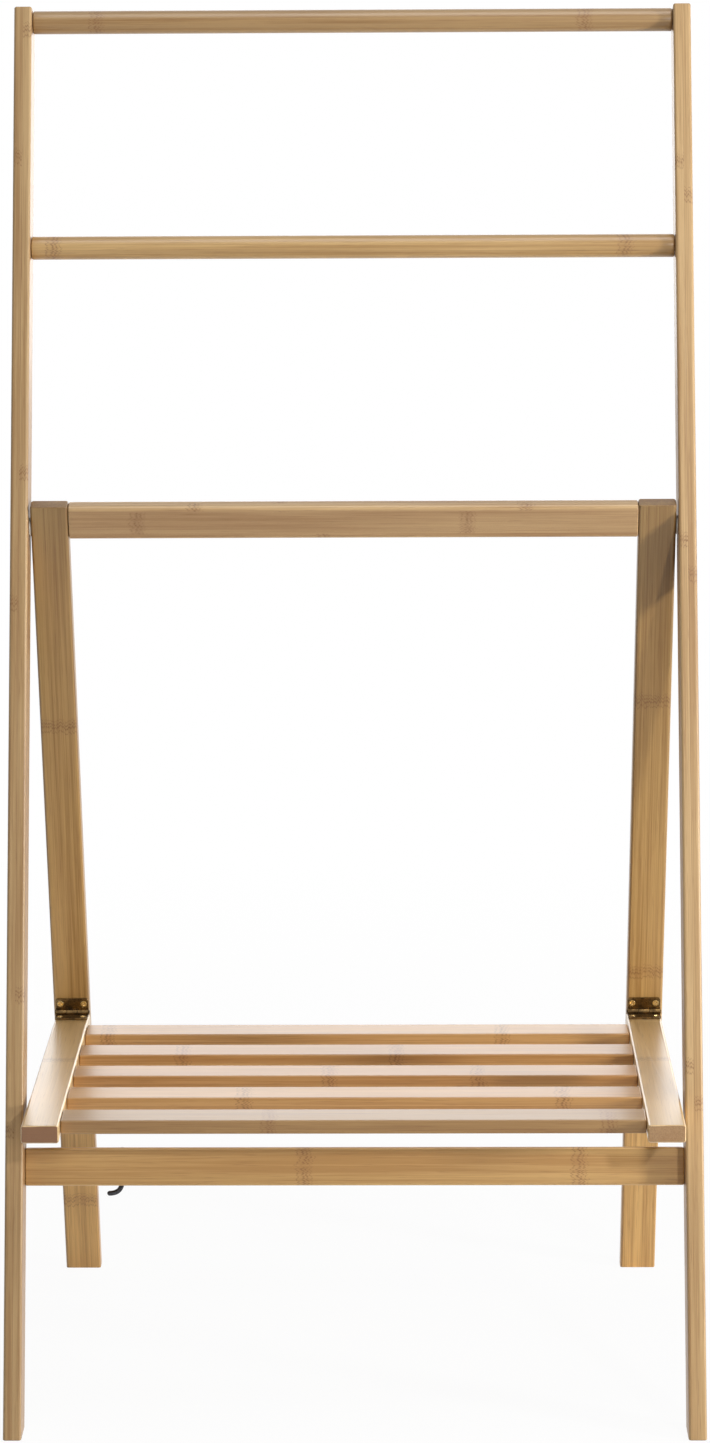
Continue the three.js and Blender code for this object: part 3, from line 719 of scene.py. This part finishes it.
def make_mottle_group():
    """Two tones of a metal's or plastic's skin in cloudy patches, with fine scratches. Size is the
    patches' size in metres, and the noises' places are counted in patches."""
    tree, given, result = new_skin_group(
        "mottled skin",
        (
            ("Place", "Vector", (0, 0, 0)),
            ("Size", "Float", 0.004),
            ("Dull", "Color", (0.1, 0.07, 0.04, 1)),
            ("Bright", "Color", (0.3, 0.2, 0.1, 1)),
            ("Smooth", "Float", 0.25),
            ("Rough", "Float", 0.5),
        ),
    )
    in_patches = tree.nodes.new("ShaderNodeVectorMath")
    in_patches.operation = "SCALE"
    tree.links.new(given["Place"], in_patches.inputs[0])
    tree.links.new(maths(tree, "DIVIDE", 1.0, given["Size"]), in_patches.inputs["Scale"])
    own = in_patches.outputs[0]
    patches = speckle(tree, own, cells=(1, 1, 1), detail=4.0, roughness=0.6)
    scratches = speckle(tree, own, cells=(3, 40, 11))
    tone = maths(tree, "ADD", patches, sway(tree, scratches, strength=0.35))
    tone = climb(tree, tone, start=0.32, end=0.68)
    tree.links.new(tinted(tree, tone, given["Dull"], given["Bright"]), result["Colour"])
    span = maths(tree, "SUBTRACT", given["Smooth"], given["Rough"])
    rough = maths(tree, "ADD", given["Rough"], maths(tree, "MULTIPLY", tone, span))
    tree.links.new(rough, result["Roughness"])
    height = maths(tree, "ADD", patches, maths(tree, "MULTIPLY", scratches, 0.5))
    tree.links.new(height, result["Height"])
    return tree


mottle_group = make_mottle_group()


def mottled_material(name, dull, bright, size, smooth, rough, metallic=1.0):
    """A skin of two mottled tones, metal or plastic."""
    values = {"Size": size, "Dull": dull, "Bright": bright, "Smooth": smooth, "Rough": rough}
    material, tree, skin, shader = skin_material(
        name, mottle_group, values, strength=0.08, distance=0.0003
    )
    shader.inputs["Metallic"].default_value = metallic
    place = tree.nodes.new("ShaderNodeTexCoord")
    tree.links.new(place.outputs["Object"], skin.inputs["Place"])
    return material


def within(distance, half, wall):
    """1 inside half, 0 outside it, and a wall as wide as given that slopes between them."""
    return np.clip((half + wall / 2 - np.abs(distance)) / wall, 0, 1)


def cross_recess(x, y):
    """How deep a cross presses into a screw's face, all in head radii: the greater of two bars, and
    less deep further out, as depth - rise * r."""
    arm_half, arm_reach, wall = 0.15, 0.62, 0.06
    depth, rise = 0.42, 0.3
    upright = within(x, arm_half, wall) * within(y, arm_reach, wall)
    level = within(y, arm_half, wall) * within(x, arm_reach, wall)
    return np.maximum(upright, level) * (depth - rise * np.hypot(x, y))


def hexagon_recess(x, y):
    """How deep a hexagonal socket presses in, all in head radii: flat, out to where the largest of
    the distances |x cos t + y sin t| across its three pairs of sides reaches half its width."""
    half, wall, depth = 0.51, 0.04, 0.4
    turns = np.radians((0, 60, 120))
    across = np.max([np.abs(x * np.cos(turn) + y * np.sin(turn)) for turn in turns], axis=0)
    return within(across, half, wall) * depth


def screw_outline(length, radius, shank, sink, rim, tip, dome):
    """The rows (height, radius) of a screw below its face: the edge of its dome or a turned-down
    edge, the rim, the cone down to the shank, the shank and the point."""
    point_share = 0.04
    if dome:
        share = np.array([0.975, 0.99, 1.0])
        edge = np.column_stack([-dome * np.sqrt(1 - share ** 2), share * radius])
    else:
        turn_down = rim / 2
        bend = np.linspace(np.pi / 2, 0, 4)
        edge = turn_down * np.column_stack([1 - np.sin(bend), np.cos(bend) - 1]) + (0, radius)
    body = [(rim, radius), (sink, shank / 2), (length - tip, shank / 2), (length, shank * point_share)]
    return np.concatenate([edge, body])


def recessed_screw(node, into, head, shank, sink, rim, tip, recess=cross_recess, dome=0.0):
    """A screw turned about the line of its node, from its face at height 0 down along into. The
    face is the dome -dome * sqrt(1 - r^2), r in head radii, pressed in where the recess is."""
    segments, face_rows, face_reach = 96, 23, 0.96
    seat_depth = 2e-5
    solid = nodes[node].data
    corners = np.empty(len(solid.vertices) * 3)
    solid.vertices.foreach_get("co", corners)
    corners = np.unique(corners.reshape(-1, 3).round(7), axis=0)
    axis = np.array(into)
    depths = corners @ axis
    seat = corners[depths < depths.min() + seat_depth].mean(axis=0) + dome * axis
    length = depths.max() - depths.min() - dome

    radius = head / 2
    ring = np.linspace(0, face_reach, face_rows + 2)[1:-1, None]
    angle = np.linspace(0, 2 * np.pi, segments, endpoint=False)
    pressed = recess(ring * np.cos(angle), ring * np.sin(angle))
    face = pressed * radius - dome * np.sqrt(1 - ring ** 2)
    outline = screw_outline(length, radius, shank, sink, rim, tip, dome)
    heights = np.concatenate([face, np.repeat(outline[:, :1], segments, axis=1)])
    radii = np.concatenate([ring * radius, outline[:, 1:]])

    # Each screw was driven home to a turn of its own
    turn = 0.7 * sum(node.encode())
    side = np.array(Vector(into).orthogonal().normalized())
    other = np.cross(axis, side)
    spoke = np.cos(angle + turn)[:, None] * side + np.sin(angle + turn)[:, None] * other
    points = seat + heights[:, :, None] * axis + radii[:, :, None] * spoke
    face_middle = seat + (recess(0.0, 0.0) * radius - dome) * axis
    point = seat + length * axis

    count = len(points) * segments
    first = np.arange(segments)
    last = first + count - segments
    beside = np.roll(first, -1)
    near = np.stack([beside, first, np.full(segments, count)], -1)
    far = np.stack([last, last[beside], np.full(segments, count + 1)], -1)
    faces = lapped_quads(len(points), segments) + near.tolist() + far.tolist()
    points = np.concatenate([points.reshape(-1, 3), [face_middle, point]])
    mesh = bpy.data.meshes.new(node + " surface")
    mesh.from_pydata(points.tolist(), [], faces)
    mesh.shade_smooth()
    mesh.set_sharp_from_angle(angle=math.radians(28))
    piece = bpy.data.objects.new("shown_" + node, mesh)
    scene.collection.objects.link(piece)
    return piece


zinc = mottled_material(
    "zinc plating", (0.42, 0.42, 0.41, 1), (0.60, 0.60, 0.58, 1), size=0.003, smooth=0.25, rough=0.42
)
for side, inwards in (("left", (1, 0, 0)), ("right", (-1, 0, 0))):
    for part in ("top_bar", "second_bar", "stretcher_upper", "stretcher_lower"):
        node = side + "_" + part + "_screw"
        screw = recessed_screw(node, inwards, **frame_screw)
        finished(screw, node, zinc, "front_frame")

# SHELF REST PINS: two plated steel pins in the posts' inner faces, their ends chamfered. The
# shelf's side rails lie on them when the rack stands open.
pin_chamfer, pin_step, pin_rows = 0.0006, 0.0002, 8
for side in ("left", "right"):
    node = side + "_shelf_rest_pin"
    low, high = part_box(node)
    middle = middle_of(node)
    radius, length = (high.z - low.z) / 2, high.x - low.x
    chamfer = np.array(
        [[0, 0], [0, radius - pin_chamfer], [pin_step, radius - pin_step], [pin_chamfer, radius]]
    )
    along_pin = np.linspace(pin_chamfer, length - pin_chamfer, pin_rows)[1:-1]
    straight = np.column_stack([along_pin, np.full(len(along_pin), radius)])
    profile = np.concatenate([chamfer, straight, chamfer[::-1] * (-1, 1) + (length, 0)])
    foot = (low.x, middle.y, middle.z)
    pin = turned_piece("shown_" + node, profile, foot, across_the_rack, segments=48)
    finished(pin, node, zinc, "front_frame")

# PIVOTS: two plated bolts with hexagon sockets, let into the posts' outer faces and turned into
# brass inserts in the legs, with a thin nylon washer between post and leg.
pivot_bolt = {"head": 0.012, "shank": 0.006, "sink": 0.0032, "rim": 0.0005, "tip": 0.001}
brass = mottled_material(
    "yellow brass", (0.62, 0.43, 0.17, 1), (0.88, 0.70, 0.38, 1), size=0.002, smooth=0.2, rough=0.4
)
nylon = mottled_material(
    "nylon",
    (0.74, 0.72, 0.66, 1),
    (0.82, 0.80, 0.75, 1),
    size=0.006,
    smooth=0.4,
    rough=0.55,
    metallic=0.0,
)
for side, inwards in (("left", (1, 0, 0)), ("right", (-1, 0, 0))):
    node = side + "_pivot_bolt"
    bolt = recessed_screw(node, inwards, recess=hexagon_recess, **pivot_bolt)
    finished(bolt, node, zinc, "rear_frame")
    dressed_copy(side + "_pivot_insert", "rear_frame", brass)
    dressed_copy(side + "_pivot_washer", "rear_frame", nylon)

# HINGES: two butt hinges of pressed sheet, aged bronze, each with a rivet pin with domed ends and
# four yellow brass countersunk screws. One leaf lies on the leg's front, the other on the rail.
hinge_screw = {"head": 0.005, "shank": 0.0026, "sink": 0.001, "rim": 0.0002, "tip": 0.003}
hinge_pin_radius, pin_cap_radius, pin_cap_height = 0.0012, 0.0019, 0.0008
into_leg = tuple(behind_the_legs)
into_rail = (0, 0, -1)
aged_bronze = mottled_material(
    "aged bronze",
    (0.075, 0.046, 0.020, 1),
    (0.27, 0.17, 0.068, 1),
    size=0.005,
    smooth=0.25,
    rough=0.48,
)
bend = np.linspace(np.pi / 2, 0, 6)
cap = np.column_stack([pin_cap_height * (1 - np.sin(bend)), pin_cap_radius * np.cos(bend)])
cap = np.concatenate([cap, [[pin_cap_height, hinge_pin_radius]]])
for side in ("left", "right"):
    dressed_copy(side + "_hinge_leg_leaf", "rear_frame", aged_bronze)
    dressed_copy(side + "_hinge_shelf_leaf", "shelf", aged_bronze)
    node = side + "_hinge_pin"
    low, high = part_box(node)
    middle = middle_of(node)
    profile = np.concatenate([cap, cap[::-1] * (-1, 1) + (high.x - low.x, 0)])
    foot = (low.x, middle.y, middle.z)
    pin = turned_piece("shown_" + node, profile, foot, across_the_rack, segments=32)
    finished(pin, node, aged_bronze, "rear_frame")
    for edge in ("outer", "inner"):
        node = side + "_leg_leaf_" + edge + "_screw"
        finished(recessed_screw(node, into_leg, **hinge_screw), node, brass, "rear_frame")
        node = side + "_shelf_leaf_" + edge + "_screw"
        finished(recessed_screw(node, into_rail, **hinge_screw), node, brass, "shelf")

# CATCH HOOK: blackened wire bent into a ring round its round-head screw, behind the stretcher, and
# into a hook at its lower end. Its places are measured from the ring's middle, across and up.
hook_wire_radius, hook_ring_radius = 0.0018, 0.0042
neck_lead, neck_handle = 0.0016, -0.0056
shaft_top, shaft_bottom = -0.0092, -0.018
crook_bottom, crook_end = -0.027, -0.009
crook_handle_height, crook_handle_across = -0.024, -0.003
hook_screw = {"head": 0.010, "shank": 0.004, "sink": 0.0004, "rim": 0.0003, "tip": 0.002}
hook_screw["dome"] = 0.0026


def wire_piece(name, path, radius, segments=28):
    """A round wire along the path, its ends domed: rows of a circle carried along the path, turned
    at each step by the least turn that keeps them square to it."""
    run = np.gradient(path, axis=0)
    run /= np.linalg.norm(run, axis=1)[:, None]
    bend = np.linspace(0, np.pi / 2, 7)
    start_bend, end_bend = bend[:-1], bend[1:]
    start = path[0] - run[0] * radius * np.cos(start_bend)[:, None]
    finish = path[-1] + run[-1] * radius * np.sin(end_bend)[:, None]
    middles = np.concatenate([start, path, finish])
    first_runs = np.repeat(run[:1], len(start), axis=0)
    last_runs = np.repeat(run[-1:], len(finish), axis=0)
    runs = np.concatenate([first_runs, run, last_runs])
    shares = np.concatenate([np.sin(start_bend), np.ones(len(path)), np.cos(end_bend)])
    side = np.array(Vector(runs[0]).orthogonal().normalized())
    sides = []
    for direction in runs:
        side = side - direction * (side @ direction)
        side = side / np.linalg.norm(side)
        sides.append(side)
    sides = np.array(sides)
    others = np.cross(runs, sides)
    angle = np.linspace(0, 2 * np.pi, segments, endpoint=False)[:, None]
    circle = np.cos(angle) * sides[:, None] + np.sin(angle) * others[:, None]
    points = middles[:, None] + radius * shares[:, None, None] * circle
    return closed_piece(name, points, segments)


def curve_through(a, b, c, d, steps):
    """Points of the cubic with ends a, d and handles b, c: (1-s)^3 a + 3 s (1-s)^2 b +
    3 s^2 (1-s) c + s^3 d, with s from 0 to 1."""
    s = np.linspace(0, 1, steps)[:, None]
    a, b, c, d = (np.array(v, float) for v in (a, b, c, d))
    return (1 - s) ** 3 * a + 3 * s * (1 - s) ** 2 * b + 3 * s * s * (1 - s) * c + s ** 3 * d


def ring_of(radius, first_angle, last_angle, steps):
    """Points round a ring from one angle in degrees to another."""
    angle = np.radians(np.linspace(first_angle, last_angle, steps))
    return radius * np.column_stack([np.cos(angle), np.sin(angle)])


def straight_between(start, end, steps):
    """Points on the upright line through the ring's middle, between two heights."""
    return np.column_stack([np.zeros(steps), np.linspace(start, end, steps)])


def laid_out(flat, middle, across, up):
    """The flat shape's points in space, in the plane of across and up through the middle."""
    return np.array(middle) + flat[:, :1] * np.array(across) + flat[:, 1:] * np.array(up)


black_wire = mottled_material(
    "blackened steel",
    (0.03, 0.03, 0.032, 1),
    (0.075, 0.075, 0.08, 1),
    size=0.004,
    smooth=0.22,
    rough=0.4,
)
hook_swing = next(joint for joint in frame["joints"] if joint["name"] == "catch_hook_swing")
ring = ring_of(hook_ring_radius, -48, 225, steps=60)
neck_start = ring[-1] + (neck_lead, -neck_lead)
neck = curve_through(ring[-1], neck_start, (0, neck_handle), (0, shaft_top), steps=12)
shaft = straight_between(shaft_top, shaft_bottom, steps=7)[1:-1]
crook = curve_through(
    (0, shaft_bottom),
    (0, crook_handle_height),
    (crook_handle_across, crook_bottom),
    (crook_end, crook_bottom),
    steps=22,
)
flat_hook = np.concatenate([ring, neck[1:], shaft, crook])
hook_path = laid_out(flat_hook, hook_swing["pos_m"], across_the_rack, up_the_posts)
hook = wire_piece("shown_catch_hook", hook_path, hook_wire_radius)
finished(hook, "catch_hook", black_wire, "catch_hook")
screw = recessed_screw("catch_hook_screw", tuple(-behind_the_posts), **hook_screw)
finished(screw, "catch_hook_screw", black_wire, "front_frame")

# CATCH EYE: a screw eye of blackened wire under the second slat from the front, bent round until
# the wire's end nearly meets its own shank. Its shank goes up into the slat.
eye_wire_radius, eye_ring_radius = 0.0011, 0.0051
eye_neck_lead, eye_neck_handle = 0.0014, 0.0056
shank_foot = 0.0078
low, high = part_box("catch_eye")
middle = middle_of("catch_eye")
eye_middle = Vector((middle.x, middle.y, low.z + eye_ring_radius + eye_wire_radius))
ring = ring_of(eye_ring_radius, 72, -225, steps=64)
neck_start = ring[-1] + (eye_neck_lead, eye_neck_lead)
neck = curve_through(ring[-1], neck_start, (0, eye_neck_handle), (0, shank_foot), steps=10)
shank = straight_between(shank_foot, high.z - eye_middle.z - eye_wire_radius, steps=7)[1:]
flat_eye = np.concatenate([ring, neck[1:], shank])
eye_path = laid_out(flat_eye, eye_middle, front_to_back, plumb)
eye = wire_piece("shown_catch_eye", eye_path, eye_wire_radius, segments=20)
finished(eye, "catch_eye", black_wire, "shelf")
